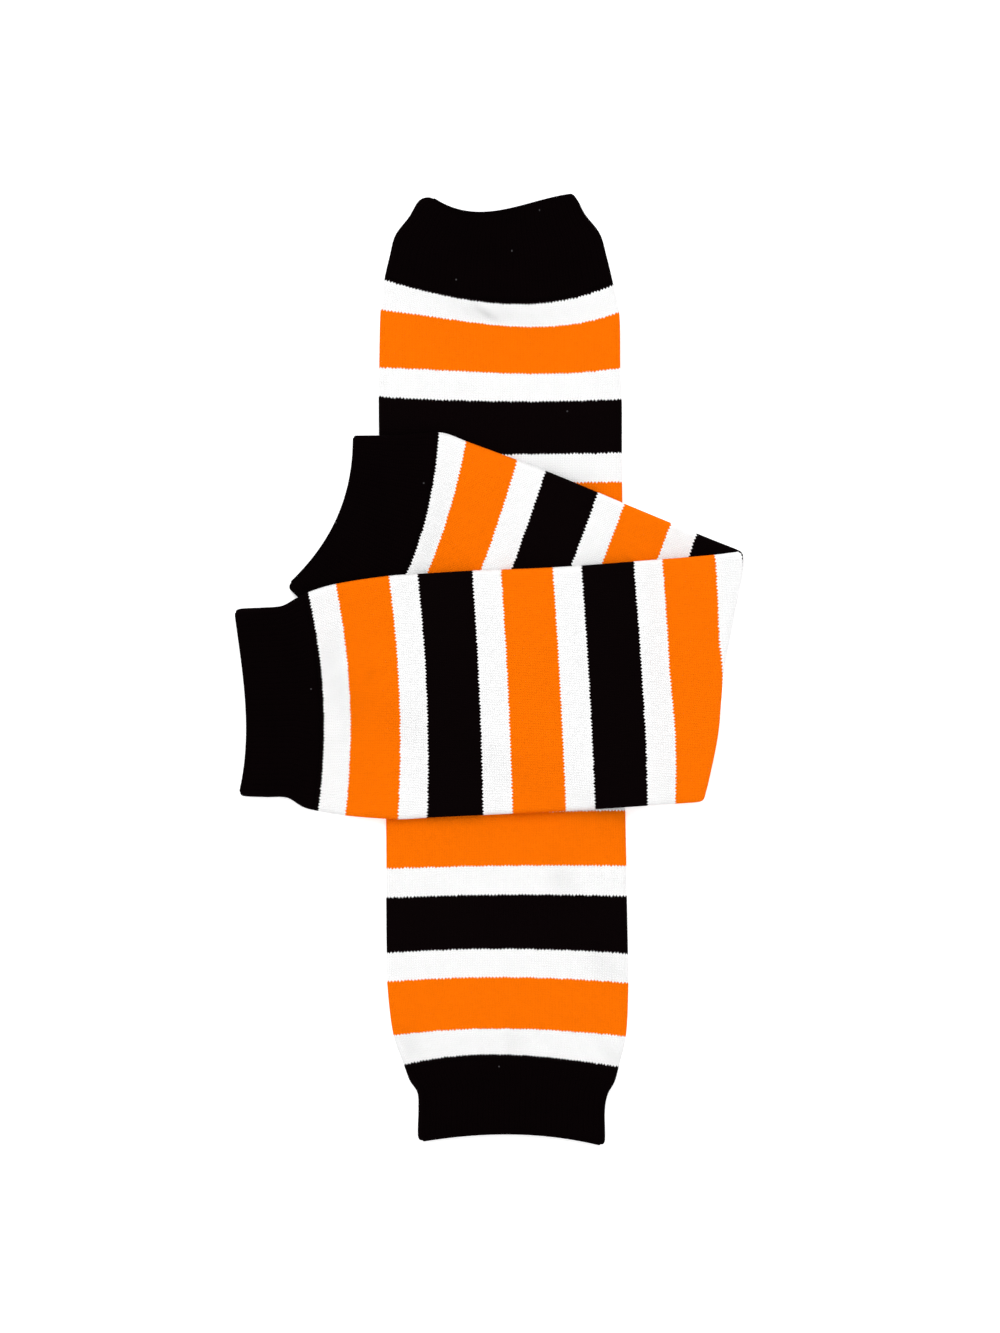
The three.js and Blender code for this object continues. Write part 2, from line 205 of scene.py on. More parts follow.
# The straight one lies on the floor all along.
straightOne = {
    "columns": ("course", "along", "half", "shift", "bow", "tilt", "lean"),
    "rows": [
        (0, 0.4, 29.8, -0.3, 3.2, 1.1, 0.3),
        (2, 2.2, 30.4, -0.3, 3.3, 1.1, 0.3),
        (12, 11.7, 30.3, -0.5, 3.3, 0.7, 0),
        (18, 17.3, 31, -0.9, 3.7, 0.7, 0),
        (22, 21, 33.2, -0.8, 3.9, 0.7, -0.4),
        (27, 25.7, 34.8, -0.6, 3.7, 0.8, -1),
        (36.4, 34.1, 37.7, -0.2, 2.4, 0.7, -0.4),
        (53.5, 50.8, 39.2, 0.2, 1.7, 0.8, 0),
        (62.9, 60, 39.2, 0.2, 1.5, 0.7, 0),
        (80, 77.6, 39.1, 0.2, 0.8, 0.3, 0),
        (89.4, 87, 39, 0.1, 0.5, 0.1, 0),
        (106.5, 104.4, 38.9, 0.1, 0, 0, 0),
        (221.9, 220.5, 39.4, 0.1, 0, 0, 0),
        (239, 237.8, 39.5, 0, -1.1, 1, 0),
        (248.4, 247, 39.2, 0, -1.6, 0.6, -1.3),
        (265.5, 262.5, 38.8, -0.3, -4.6, 0.9, -2.9),
        (274.9, 269.5, 37.3, -0.1, -6.9, 1.3, -1.9),
        (284, 279.7, 35.1, 0, -6.2, 0.6, 0.5),
        (290, 286.7, 33.2, 0.1, -5.8, 0.2, 2),
        (296, 293.4, 28.4, 0.1, -5.4, 0.1, 3.3),
        (length - 2.5, 297.2, 26.2, -0.2, -5.7, 0.3, 4.2),
        (length, 299.9, 23.9, -0.9, -5.6, 0.5, 4.2),
    ],
    "frame": flatFrame(7.1, -151.3, 90.8),
    "firstCorners": (0.9, 0.9),  # the radii of a mouth's corners, left and right
    "lastCorners": (2.2, 0.3),
    "creases": [
        {"course": 270.3, "across": 4.3, "turn": 40, "long": 4, "wide": 1.5, "rise": -0.45, "shade": 0.16},
        {"course": 272.6, "across": 5, "turn": 40, "long": 5, "wide": 1.6, "rise": 0.35},
        {"course": 270, "across": 4, "turn": 5, "long": 12, "wide": 4, "rise": -0.2, "shade": 0.06},
        {"course": 270, "across": -14, "turn": 0, "long": 14, "wide": 4, "rise": -0.2, "shade": 0.02},
        {"course": 84.5, "across": -18, "turn": 75, "long": 7, "wide": 4.5, "rise": -0.4, "shade": 0.07},
        {"course": 58, "across": -31.5, "turn": 75, "long": 8, "wide": 5, "rise": -0.4, "shade": 0.07},
        {"course": 32, "across": -1, "turn": 80, "long": 5, "wide": 3, "rise": -0.4, "shade": 0.055},
        {"course": 32, "across": 33, "turn": 70, "long": 7, "wide": 4.5, "rise": -0.3, "shade": 0.07},
        {"course": 30.5, "across": -32, "turn": 60, "long": 5, "wide": 2.5, "rise": -0.35, "shade": 0.06},
        {"course": 246, "across": 12, "turn": 8, "long": 22, "wide": 5, "rise": 0.25},
        {"course": 128, "across": 14, "turn": 20, "long": 18, "wide": 5, "rise": -0.25},
        {"course": 186, "across": -16, "turn": -25, "long": 16, "wide": 5, "rise": -0.25},
    ],
    "waves": [
        {"turn": 12, "every": 61, "start": 0.1, "rise": 0.1},
        {"turn": -35, "every": 43, "start": 0.4, "rise": 0.08},
        {"turn": 70, "every": 83, "start": 0.7, "rise": 0.1},
    ],
    "pucker": 0.07,
    "puckerAway": 6,
    "puckerLong": 5,
    "mouthRise": 0.7,  # how far the upper layer stands off the lower one at a mouth
    "coveredCourse": 165,  # the middle of the stretch beneath the folded one
    "coveredHalf": 52,
    "coveredEase": 12,
}
straightHalf = float(curve(straightOne, "course", "half", np.array(length / 2)))


def layStraight(course, across, up):
    s, v = onCourse(straightOne, course, across)
    x, y = toPlan(straightOne["frame"], s, v)
    return x, y, layer / 2 + up


# How much of a step the straight one gives to cloth that lies over a point
def overStraight(x, y):
    return comeDown(np.abs(toFrame(straightOne["frame"], x, y)[1]) - straightHalf)


# The folded one's upper half runs towards the folded edge. Its lower half runs back beneath it, as if
# mirrored in that edge.
foldedOne = {
    "columns": ("course", "along", "half", "shift", "bow", "tilt", "lean"),
    "rows": [
        (0, -155.3, 30, 1.1, 2.9, 1.1, 1.3),
        (2, -153.4, 30.5, 1, 2.9, 1.1, 1.2),
        (10, -146.1, 30.8, 0.6, 3, 1.1, 0.9),
        (17, -139.7, 31.2, 0.4, 3.1, 1, 0.5),
        (22, -135.1, 33.8, -0.2, 3.2, 0.8, 0.2),
        (27, -130.5, 35.5, -0.1, 3.4, 0.5, 0),
        (36.4, -121.9, 37.6, 0, 3.1, 0.7, 0),
        (53.5, -105.8, 39.5, -0.3, 2, 0.9, 0),
        (62.9, -96.9, 39.6, -0.3, 1.5, 0.8, 0),
        (80, -79.8, 39.7, -0.4, 0.6, 0.6, 0),
        (106.5, -53.6, 39.6, -0.8, 0.3, 0.2, 0),
        (133, -26.9, 39.7, -0.5, 0.5, 0, 0),
        (161, 0, 40, 0, 0, 0, 0),
        (168.9, 6.7, 40, 0.3, 0, 0, 0),
        (186, 23.8, 40.1, 0.6, 0, 0, 0),
        (212.5, 49.2, 40.1, 1.3, 0, 0, 0),
        (221.9, 58.2, 40, 1.8, -0.3, 0, 0),
        (239, 76, 39.7, 2.7, -0.9, 0, 0),
        (265.5, 101.1, 39.3, 3, -3.8, -0.4, 0),
        (274.9, 107.2, 38.2, 3.8, -6.5, 0, -0.8),
        (288, 121.2, 32.4, 3.9, -6.2, -0.9, 0),
        (length, 135, 26.8, 4.4, -6.2, -1.6, 0),
    ],
    "foldPoint": (76.4, -2.7),
    "foldCourse": 161,
    "heading": 3.4,
    "edgeHeading": 81.4,
    "turnRadius": 2.2,
    "puffReach": 30,
    "swellReach": 30,
    "skewReach": 70,
    "firstCorners": (0.8, 0.9),
    "lastCorners": (0.6, 1.8),
    "creases": [
        {"course": 32, "across": 16.5, "turn": 25, "long": 6, "wide": 3.5, "rise": -0.35, "shade": 0.05},
        {"course": 30, "across": -6, "turn": 5, "long": 14, "wide": 4, "rise": -0.2},
        {"course": 44, "across": 7, "turn": 40, "long": 4, "wide": 1.2, "rise": -0.35, "shade": 0.05},
        {"course": 46, "across": 9, "turn": 40, "long": 5, "wide": 1.6, "rise": 0.25},
        {"course": 84, "across": -6, "turn": 78, "long": 13, "wide": 6, "rise": -0.2},
        {"course": 112, "across": -9, "turn": 96, "long": 14, "wide": 6, "rise": -0.2},
        {"course": 137, "across": 5, "turn": 70, "long": 12, "wide": 6, "rise": -0.2},
        {"course": 262, "across": -16, "turn": -20, "long": 12, "wide": 4, "rise": -0.3},
        {"course": 228, "across": -22, "turn": 20, "long": 12, "wide": 5, "rise": 0.2},
    ],
    "waves": [
        {"turn": 18, "every": 57, "start": 0.3, "rise": 0.1},
        {"turn": -28, "every": 39, "start": 0.8, "rise": 0.07},
        {"turn": 76, "every": 71, "start": 0.2, "rise": 0.12},
    ],
    "pucker": 0.07,
    "puckerAway": 6,
    "puckerLong": 5,
    "mouthRise": 0.8,
    "coverHalf": 42,  # the upper half covers this much of the lower one, each way from its middle
    "coverEase": 8,
    "turnClear": 1,  # how far from the turn the upper layer starts to rise freely
    "turnEase": 14,
}

# How far the folded edge swells out, by distance up it from the fold point
foldEdge = {
    "columns": ("up", "out"),
    "rows": [(-41, -0.5), (-33, 0.3), (-19, 1), (-7, 0.3), (1, -0.2), (8, 0), (34, 0.9), (41, 0.2)],
}

frontFrame = flatFrame(*foldedOne["foldPoint"], foldedOne["heading"])
edgeFrame = flatFrame(*foldedOne["foldPoint"], foldedOne["edgeHeading"])
backFrame = flatFrame(*foldedOne["foldPoint"], 2 * foldedOne["edgeHeading"] - foldedOne["heading"])
foldSlant = math.radians(90 - foldedOne["edgeHeading"] + foldedOne["heading"])
turnReach = foldedOne["turnRadius"] + layer / 2  # from the turn's axis to the folded edge
turnBegins = foldedOne["foldCourse"] - turnReach / math.cos(foldSlant)
turnEnds = turnBegins + math.pi * foldedOne["turnRadius"] / math.cos(foldSlant)

# The lower half's hidden side edge, by distance along it
backSide = {
    "columns": ("along", "side"),
    "rows": [
        (along - bow, half - shift)
        for _, along, half, shift, bow, _, _ in foldedOne["rows"]
        if along > 0
    ],
}
backMouth = backSide["rows"][-1][0]


# How much of a step the lower half gives to the upper half over a point
def overBack(x, y):
    s, v = toFrame(backFrame, x, y)  # it is face down, so its hidden side is on its left
    beside = knit["sideEase"] * (v - curve(backSide, "along", "side", s))
    return comeDown(np.maximum(beside, s - backMouth))


def layFolded(course, across, up):
    s, v = onCourse(foldedOne, course, across)
    x, y = toPlan(frontFrame, s, v)
    alongEdge, inside = toFrame(edgeFrame, x, y)
    radius = foldedOne["turnRadius"]
    turned = (turnReach - inside) / radius  # radians round the turn, for a point that is on it

    puff = (2 * radius - liftStep) * fade(inside - turnReach, foldedOne["puffReach"])
    z = layer / 2 + liftStep * (overStraight(x, y) + overBack(x, y)) + puff + up

    turning = (turned > 0) & (turned < math.pi)
    angle = np.clip(turned, 0, math.pi)
    turnX, turnY = toPlan(edgeFrame, alongEdge, turnReach - (radius + up) * np.sin(angle))
    turnZ = turnReach + (radius + up) * np.cos(angle)

    under = turned >= math.pi
    underX, underY = toPlan(edgeFrame, alongEdge, turnReach + (turned - math.pi) * radius)
    underZ = layer / 2 + liftStep * overStraight(underX, underY) - up

    x = np.where(under, underX, np.where(turning, turnX, x))
    y = np.where(under, underY, np.where(turning, turnY, y))
    z = np.where(under, underZ, np.where(turning, turnZ, z))

    alongEdge, inside = toFrame(edgeFrame, x, y)
    swell = curve(foldEdge, "up", "out", alongEdge) * fade(inside, foldedOne["swellReach"])
    x, y = toPlan(edgeFrame, alongEdge, inside - swell)
    return x, y, z


# How freely the upper layer may rise at a point: not where other cloth lies on it
def straightFree(course, across):
    beyond = np.abs(course - straightOne["coveredCourse"]) - straightOne["coveredHalf"]
    return 1 - fade(beyond, straightOne["coveredEase"])


def foldedFree(course, across):
    x, y, _ = layFolded(course, across, np.zeros_like(course))
    _, v = toFrame(frontFrame, x, y)
    beneath = (course > turnBegins) * fade(np.abs(v) - foldedOne["coverHalf"], foldedOne["coverEase"])
    fromTurn = np.abs(course - (turnBegins + turnEnds) / 2) - turnReach - foldedOne["turnClear"]
    return (1 - beneath) * (1 - fade(fromTurn, foldedOne["turnEase"]))


# Which of the tube's two faces looks up: the other one, past the fold
def straightSky(course):
    return np.ones_like(course)


def foldedSky(course):
    return np.where(course < (turnBegins + turnEnds) / 2, 1.0, -1.0)


# Rings lie along the folded edge near it, and square to the tube at the cuffs
def foldedSkew(course):
    away = np.abs(course - (turnBegins + turnEnds) / 2) - turnReach
    return math.tan(foldSlant) * fade(away, foldedOne["skewReach"])


straightOne.update(lay=layStraight, free=straightFree, sky=straightSky, skew=np.zeros_like)
foldedOne.update(lay=layFolded, free=foldedFree, sky=foldedSky, skew=foldedSkew)


# The rise of the upward layer over its plain form, kept above the lower layer
def relief(garment, course, across, half):
    t = np.clip(across / half, -1, 1)
    ends = np.minimum(course, length - course)
    rise = unevenness(garment["waves"], course, across)
    rise += puckers(garment, course, across)
    rise += creaseSum(garment["creases"], "rise", course, across)
    rise += garment["mouthRise"] * (1 - t**4) * hump(ends, knit["mouthReach"])
    free = garment["free"](course, across)
    lowest = -knit["reliefSink"] * knit["slit"]
    dip = knit["coveredDip"] + knit["freeDip"] * free
    return np.maximum(rise, lowest) * np.where(rise > 0, free, dip)


# A piece of one garment between two courses: a closed wall whose rings run along the outside, round
# one end, back along the inside and round the other end.
def knitPiece(name, garment, piece):
    flatFaces, arcFaces = piece["flatFaces"], piece["arcFaces"]
    faces = 2 * (flatFaces + arcFaces)
    outer = ringCourses(garment, piece["from"], piece["to"], piece["outerStep"])
    inner = ringCourses(garment, piece["from"], piece["to"], piece["innerStep"])[::-1]
    outerRadius, innerRadius = layer / 2, knit["slit"] / 2
    lipRadius = (outerRadius + innerRadius) / 2
    lip = [
        (lipRadius + knit["lipRound"], knit["lipShoulder"] * knit["lip"]),
        (lipRadius, knit["lip"]),
        (lipRadius - knit["lipRound"], knit["lipShoulder"] * knit["lip"]),
    ]
    rings = [(c, outerRadius, 0.0) for c in outer]
    if piece["to"] == length:
        rings += [(length, radius, proud) for radius, proud in lip]
    rings += [(c, innerRadius, 0.0) for c in inner]
    if piece["from"] == 0:
        rings += [(0, radius, -proud) for radius, proud in lip[::-1]]
    rings.append(rings[0])

    # a flat grid, one row of faces for each step from ring to ring, is wrapped into the wall
    bpy.ops.mesh.primitive_grid_add(
        x_subdivisions=faces, y_subdivisions=len(rings) - 1, size=2, calc_uvs=True
    )
    cloth = bpy.context.object
    cloth.name = name
    cloth.data.name = name
    count = len(cloth.data.vertices)
    flat = np.empty(3 * count)
    cloth.data.vertices.foreach_get("co", flat)
    flat = flat.reshape(-1, 3)
    column = np.rint((flat[:, 0] + 1) / 2 * faces)
    ring = np.rint((flat[:, 1] + 1) / 2 * (len(rings) - 1)).astype(int)

    course, radius, proud = (np.array(values)[ring] for values in zip(*rings))
    leftCut, rightCut = cornerCuts(garment, course)
    half = curve(garment, "course", "half", course) - (leftCut + rightCut) / 2
    across, up, girth = flatSection(column, half, radius, flatFaces, arcFaces)
    across += (rightCut - leftCut) / 2
    knitted = np.clip(course + garment["skew"](course) * across, 0, length)
    sky = garment["sky"](knitted)
    skyward = np.clip(up * sky / radius + knit["skyBlend"], 0, 1)
    skyward = skyward * skyward * (3 - 2 * skyward)
    up = up + ribDepth(piece, knitted, girth, radius) * up / radius
    up = up + sky * skyward * relief(garment, knitted, across, half)
    x, y, z = garment["lay"](knitted, across, up)
    if piece["from"] == 0 or piece["to"] == length:
        x, y = standProud(garment, x, y, course, proud)
    cloth.data.vertices.foreach_set("co", np.stack([x, y, z], 1).ravel() * mm)

    # painted shade in the creases, for the knit's colour
    paintedCreaseShade = skyward * creaseSum(garment["creases"], "shade", knitted, across)
    cloth.data.attributes.new("paintedCreaseShade", "FLOAT", "POINT").data.foreach_set("value", paintedCreaseShade)

    # the UV map holds metres of knit, round the tube and along it
    loops = len(cloth.data.loops)
    uv = np.empty(2 * loops)
    cloth.data.uv_layers[0].data.foreach_get("uv", uv)
    uv = uv.reshape(-1, 2)
    uvRing = np.rint(uv[:, 1] * (len(rings) - 1)).astype(int)
    uvCourse = np.array([c for c, _, _ in rings])[uvRing]
    uvHalf = curve(garment, "course", "half", uvCourse)
    uvAcross, _, uvGirth = flatSection(
        np.rint(uv[:, 0] * faces), uvHalf, np.full(loops, outerRadius), flatFaces, arcFaces
    )
    uvKnitted = np.clip(uvCourse + garment["skew"](uvCourse) * uvAcross, 0, length)
    uv = np.stack([uvGirth * knit["round"], uvKnitted], 1) * mm
    cloth.data.uv_layers[0].data.foreach_set("uv", uv.ravel())
    cloth.data.uv_layers[0].name = "knitted"

    bpy.ops.object.mode_set(mode="EDIT")
    bpy.ops.mesh.select_all(action="SELECT")
    bpy.ops.mesh.remove_doubles(threshold=0.01 * mm)
    bpy.ops.mesh.normals_make_consistent(inside=False)
    bpy.ops.object.mode_set(mode="OBJECT")
    bpy.ops.object.shade_smooth()
    bpy.ops.object.select_all(action="DESELECT")
    print(name, len(cloth.data.polygons), "faces")
    return cloth


# The courses of a piece's rings, closer together at a mouth and round the turn of the fold
def ringCourses(garment, start, stop, step):
    stops = [start, stop]
    if start == 0:
        stops += knit["mouthRings"]
    if stop == length:
        stops += [length - at for at in knit["mouthRings"]]
    if garment is foldedOne:
        stops += [at for at in (turnBegins, turnEnds) if start < at < stop]
    stops.sort()
    courses = [start]
    for low, high in zip(stops, stops[1:]):
        finest = knit["turnStep"] if low == turnBegins else step
        count = math.ceil((high - low) / finest)
        courses += [low + (high - low) * (i + 1) / count for i in range(count)]
    return courses


# A flat tube's section by column: level above and below, round at the side folds. girth runs from 0
# to 1 round the tube.
def flatSection(column, half, radius, flatFaces, arcFaces):
    level = half - layer / 2
    side = column // (flatFaces + arcFaces) % 2
    step = column % (flatFaces + arcFaces)
    flatShare = np.clip(step / flatFaces, 0, 1)
    angle = np.pi * np.clip((step - flatFaces) / arcFaces, 0, 1)
    across = level * (1 - 2 * flatShare) - radius * np.sin(angle)
    up = radius * np.cos(angle)
    sideLength = 2 * level + np.pi * layer / 2
    girth = (2 * level * flatShare + angle * layer / 2) / sideLength
    turn = column == 2 * (flatFaces + arcFaces)
    girth = np.where(turn, 1, (girth + side) / 2)
    return across * (1 - 2 * side), up * (1 - 2 * side), girth


# A ribbed piece's outside dips between its ribs, and is plain at its seam
def ribDepth(piece, course, girth, radius):
    if not piece.get("ribs"):
        return np.zeros_like(course)
    fromSeam = np.abs(course - piece["seam"])
    wave = 0.5 - 0.5 * np.cos(2 * np.pi * girth * piece["ribs"])
    outside = np.clip((radius - knit["slit"]) / knit["wall"], 0, 1)
    return -piece["ribDeep"] * wave * outside * (1 - fade(fromSeam - piece["seamPlain"], piece["ribEase"]))


# Moves a mouth's lip out along the tube
def standProud(garment, x, y, course, proud):
    if garment is straightOne:
        return x + proud * garment["frame"]["cos"], y + proud * garment["frame"]["sin"]
    ahead = frontFrame if course[0] < foldedOne["foldCourse"] else backFrame
    return x + proud * ahead["cos"], y + proud * ahead["sin"]


# Helpers for node trees
def addNode(tree, kind, **settings):
    node = tree.nodes.new(kind)
    for name, value in settings.items():
        setattr(node, name, value)
    return node


def join(tree, value, socket):
    if isinstance(value, bpy.types.NodeSocket):
        tree.links.new(value, socket)
    else:
        socket.default_value = value


def sums(tree, operation, *values, clamp=False):
    node = addNode(tree, "ShaderNodeMath", operation=operation, use_clamp=clamp)
    for value, socket in zip(values, node.inputs):
        join(tree, value, socket)
    return node.outputs[0]


# A noise's 0 to 1, made a swing each way from nought
def swing(tree, noise, size):
    return sums(tree, "MULTIPLY", sums(tree, "SUBTRACT", noise, 0.5), size)


def blendColours(tree, share, first, second, blend="MIX"):
    node = addNode(tree, "ShaderNodeMix", data_type="RGBA", blend_type=blend)
    join(tree, share, node.inputs["Factor"])
    join(tree, first, node.inputs[6])
    join(tree, second, node.inputs[7])
    return node.outputs[2]


def newGroup(name, inputs, outputs):
    group = bpy.data.node_groups.new(name, "ShaderNodeTree")
    for socketName, kind in inputs:
        group.interface.new_socket(socketName, in_out="INPUT", socket_type=kind)
    for socketName, kind in outputs:
        group.interface.new_socket(socketName, in_out="OUTPUT", socket_type=kind)
    return group, addNode(group, "NodeGroupInput"), addNode(group, "NodeGroupOutput")


# How a stitch is shaped, and how uneven the stitches are. Moves are in stitches.
stitchForm = {
    "wanderScale": 0.35,  # the rows and wales wander slowly
    "wander": 0.5,
    "jog": 0.25,  # no two wales are quite level
    "strandPower": 0.6,  # how full the yarn is across its row
    "legPower": 0.5,  # and along its leg
    "fibreScale": 4.0,
    "fibreDetail": 3.0,
    "fibres": 0.35,
    "toneScale": 0.12,
    "toneDetail": 4.0,
}


# Knit stitches from a vector of stitch counts: rows of V shapes, each of two leaning legs of yarn.
# Height is the yarn's, Row is the number of the course, and Yarn is a slow change of tone along it.
def buildStitches():
    group, given, made = newGroup(
        "knitStitches",
        [("Stitches", "NodeSocketVector"), ("Lean", "NodeSocketFloat")],
        [("Height", "NodeSocketFloat"), ("Row", "NodeSocketFloat"), ("Yarn", "NodeSocketFloat")],
    )
    apart = addNode(group, "ShaderNodeSeparateXYZ")
    group.links.new(given.outputs["Stitches"], apart.inputs[0])
    wander = addNode(group, "ShaderNodeTexNoise", noise_dimensions="2D")
    wander.inputs["Scale"].default_value = stitchForm["wanderScale"]
    group.links.new(given.outputs["Stitches"], wander.inputs["Vector"])
    sway = swing(group, wander.outputs[0], stitchForm["wander"])
    wale = sums(group, "ADD", apart.outputs[0], sway)
    inWale = sums(group, "FRACT", wale)
    fromMiddle = sums(group, "ABSOLUTE", sums(group, "SUBTRACT", sums(group, "MULTIPLY", inWale, 2), 1))
    leaning = sums(group, "MULTIPLY", fromMiddle, given.outputs["Lean"])
    jog = addNode(group, "ShaderNodeTexWhiteNoise", noise_dimensions="1D")
    group.links.new(sums(group, "FLOOR", wale), jog.inputs["W"])
    uneven = swing(group, jog.outputs["Value"], stitchForm["jog"])
    level = sums(group, "ADD", sums(group, "SUBTRACT", apart.outputs[1], leaning), uneven)
    course = sums(group, "ADD", level, sway)
    row = sums(group, "FLOOR", course)
    inRow = sums(group, "FRACT", course)
    strand = sums(group, "SINE", sums(group, "MULTIPLY", inRow, math.pi))
    leg = sums(group, "SINE", sums(group, "MULTIPLY", fromMiddle, math.pi))
    fullStrand = sums(group, "POWER", strand, stitchForm["strandPower"])
    fullLeg = sums(group, "POWER", leg, stitchForm["legPower"])
    bulge = sums(group, "MULTIPLY", fullStrand, fullLeg)
    fibres = addNode(group, "ShaderNodeTexNoise", noise_dimensions="2D")
    fibres.inputs["Scale"].default_value = stitchForm["fibreScale"]
    fibres.inputs["Detail"].default_value = stitchForm["fibreDetail"]
    group.links.new(given.outputs["Stitches"], fibres.inputs["Vector"])
    fuzz = swing(group, fibres.outputs[0], stitchForm["fibres"])
    group.links.new(sums(group, "ADD", bulge, fuzz, clamp=True), made.inputs["Height"])
    group.links.new(row, made.inputs["Row"])
    tone = addNode(group, "ShaderNodeTexNoise", noise_dimensions="2D")
    tone.inputs["Scale"].default_value = stitchForm["toneScale"]
    tone.inputs["Detail"].default_value = stitchForm["toneDetail"]
    group.links.new(given.outputs["Stitches"], tone.inputs["Vector"])
    group.links.new(tone.outputs[0], made.inputs["Yarn"])
    return group


# The colour of a course: black before the first and after the last, and bands by turns between
def buildBands(colours):
    group, given, made = newGroup(
        "bandColours", [("Row", "NodeSocketFloat")], [("Color", "NodeSocketColor")]
    )
    row = sums(group, "ADD", given.outputs["Row"], 0.5)
    pitch = knit["paleCourses"] + knit["brightCourses"]
    band = sums(group, "FLOOR", sums(group, "DIVIDE", row, pitch))
    inBand = sums(group, "SUBTRACT", row, sums(group, "MULTIPLY", band, pitch))
    bright = sums(group, "GREATER_THAN", inBand, knit["paleCourses"])
    odd = sums(group, "MODULO", band, 2)
    brightColour = blendColours(group, odd, colours["orange"], colours["black"])
    banded = blendColours(group, bright, colours["white"], brightColour)
    before = sums(group, "LESS_THAN", row, 0)
    after = sums(group, "GREATER_THAN", row, legCourses)
    group.links.new(
        blendColours(group, sums(group, "MAXIMUM", before, after), banded, colours["black"]),
        made.inputs["Color"],
    )
    return group


# A few specks of lint, far apart, from a vector in metres
def buildLint(lint):
    group, given, made = newGroup(
        "lintSpecks", [("Vector", "NodeSocketVector")], [("Lint", "NodeSocketFloat")]
    )
    cells = addNode(group, "ShaderNodeTexVoronoi", voronoi_dimensions="2D")
    cells.inputs["Scale"].default_value = 1 / (lint["apart"] * mm)
    group.links.new(given.outputs["Vector"], cells.inputs["Vector"])
    speck = addNode(group, "ShaderNodeMapRange", interpolation_type="SMOOTHSTEP")
    speck.inputs["From Min"].default_value = lint["radius"] / lint["apart"]
    speck.inputs["From Max"].default_value = lint["core"] * lint["radius"] / lint["apart"]
    group.links.new(cells.outputs["Distance"], speck.inputs["Value"])
    group.links.new(speck.outputs[0], made.inputs["Lint"])
    return group


lint = {
    "apart": 37,
    "radius": 0.36,
    "core": 0.4,  # the share of the radius that has the full colour
    "belowRed": 0.1,  # lint shows only where the knit has less red than this, which is on black
    "colour": (0.055, 0.052, 0.055, 1),
}
yarn = {
    "orange": (0.94, 0.162, 0.0009, 1),
    "black": (0.0024, 0.001, 0.0012, 1),
    "white": (0.91, 0.91, 0.91, 1),
    "lean": 0.75,
    "bump": 0.22,  # the height of a stitch's yarn
    "gapShade": 0.14,  # how much darker the gaps between the yarn are
    "mottle": 0.05,
    "roughness": 0.92,
    "gapRough": 0.06,  # how much rougher the gaps are
    "specular": 0.01,
}
ribYarn = {
    "black": (0.0019, 0.0007, 0.0009, 1),
    "lean": 0.75,
    "bump": 0.2,
    "gapShade": 0.3,
    "mottle": 0.25,
    "roughness": 0.93,
    "gapRough": 0.06,
    "specular": 0.01,
}
stitches = buildStitches()
bands = buildBands(yarn)
specks = buildLint(lint)


# A knit finish. The UV map is turned into stitch counts, from the first cuff's seam.
def knitMaterial(name, settings, walesRound, colourOf):
    material = bpy.data.materials.new(name)
    material.use_nodes = True
    tree = material.node_tree
    tree.nodes.clear()
    output = addNode(tree, "ShaderNodeOutputMaterial")
    shader = addNode(tree, "ShaderNodeBsdfPrincipled")
    tree.links.new(shader.outputs[0], output.inputs["Surface"])
    uv = addNode(tree, "ShaderNodeUVMap", uv_map="knitted")
    counts = addNode(tree, "ShaderNodeMapping")
    counts.inputs["Scale"].default_value = (
        walesRound / (knit["round"] * mm), 1 / (knit["course"] * mm), 1
    )
    counts.inputs["Location"].default_value = (0, -knit["cuff"] / knit["course"], 0)
    tree.links.new(uv.outputs[0], counts.inputs["Vector"])
    stitch = addNode(tree, "ShaderNodeGroup", node_tree=stitches)
    stitch.inputs["Lean"].default_value = settings["lean"]
    tree.links.new(counts.outputs[0], stitch.inputs["Stitches"])

    base = colourOf(tree, stitch)
    gap = sums(tree, "SUBTRACT", 1, stitch.outputs["Height"])
    shade = sums(tree, "SUBTRACT", 1, sums(tree, "MULTIPLY", gap, settings["gapShade"]))
    tone = swing(tree, stitch.outputs["Yarn"], settings["mottle"])
    # painted shade in the creases, taken off the knit's colour
    paintedCreaseShade = addNode(tree, "ShaderNodeAttribute", attribute_name="paintedCreaseShade")
    share = sums(tree, "SUBTRACT", sums(tree, "ADD", shade, tone), paintedCreaseShade.outputs["Fac"])
    grey = addNode(tree, "ShaderNodeCombineColor")
    for socket in grey.inputs:
        tree.links.new(share, socket)
    shaded = blendColours(tree, 1.0, base, grey.outputs[0], "MULTIPLY")
    red = addNode(tree, "ShaderNodeSeparateColor")
    tree.links.new(shaded, red.inputs[0])
    onBlack = sums(tree, "LESS_THAN", red.outputs[0], lint["belowRed"])
    speck = addNode(tree, "ShaderNodeGroup", node_tree=specks)
    tree.links.new(uv.outputs[0], speck.inputs["Vector"])
    linted = sums(tree, "MULTIPLY", speck.outputs["Lint"], onBlack)
    tree.links.new(blendColours(tree, linted, shaded, lint["colour"]), shader.inputs["Base Color"])

    rough = addNode(tree, "ShaderNodeMapRange")
    rough.inputs["To Min"].default_value = settings["roughness"] + settings["gapRough"]
    rough.inputs["To Max"].default_value = settings["roughness"]
    tree.links.new(stitch.outputs["Height"], rough.inputs["Value"])
    tree.links.new(rough.outputs[0], shader.inputs["Roughness"])
    bump = addNode(tree, "ShaderNodeBump")
    bump.inputs["Distance"].default_value = settings["bump"] * mm
    tree.links.new(stitch.outputs["Height"], bump.inputs["Height"])
    tree.links.new(bump.outputs[0], shader.inputs["Normal"])
    shader.inputs["Specular IOR Level"].default_value = settings["specular"]
    return material


def bandedColour(tree, stitch):
    node = addNode(tree, "ShaderNodeGroup", node_tree=bands)
    tree.links.new(stitch.outputs["Row"], node.inputs["Row"])
    return node.outputs["Color"]


def ribColour(tree, stitch):
    return ribYarn["black"]


